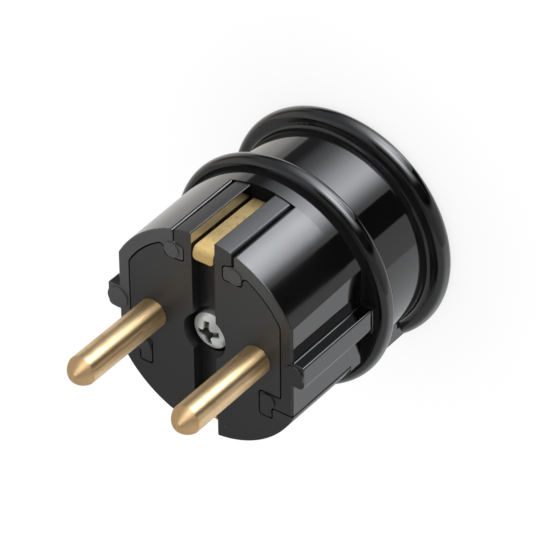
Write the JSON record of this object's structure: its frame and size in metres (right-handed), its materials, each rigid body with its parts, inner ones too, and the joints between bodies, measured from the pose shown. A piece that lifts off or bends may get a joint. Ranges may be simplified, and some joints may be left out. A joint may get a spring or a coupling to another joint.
{
  "type": "electrical plug",
  "caption": "Round black mains plug with straight round pins, earth strips in slots at its edge, guide ribs on side flats, a waisted grip and a side cord entry.",
  "frame": {"origin": "centre of the closed rear face", "axes": "+Z from the rear face along the pins, +X through the right pin, +Y towards the upper earth slot; the cord entry is on the -Y side"},
  "size_m": [0.0398, 0.0398, 0.055],
  "materials": {
    "phenolic_hood": "polished black phenolic moulding",
    "phenolic_carrier": "black phenolic moulding with a satin front",
    "pin_brass": "turned satin brass",
    "strap_brass": "rolled brass strip",
    "zinc_steel": "bright zinc plate"
  },
  "bodies": {
    "root": {"hood": "phenolic_hood", "contact_carrier": "phenolic_carrier", "pin_left": "pin_brass", "pin_right": "pin_brass", "terminal_left": "strap_brass", "terminal_right": "strap_brass", "earth_strap": "strap_brass", "centre_bush": "strap_brass", "cord_clamp_bush_left": "strap_brass", "cord_clamp_bush_right": "strap_brass", "centre_screw": "zinc_steel", "terminal_screw_left": "zinc_steel", "terminal_screw_right": "zinc_steel", "earth_screw": "zinc_steel", "earth_washer": "zinc_steel", "earth_nut": "zinc_steel", "cord_clamp": "zinc_steel", "cord_clamp_screw_left": "zinc_steel", "cord_clamp_screw_right": "zinc_steel"}
  },
  "joints": []
}
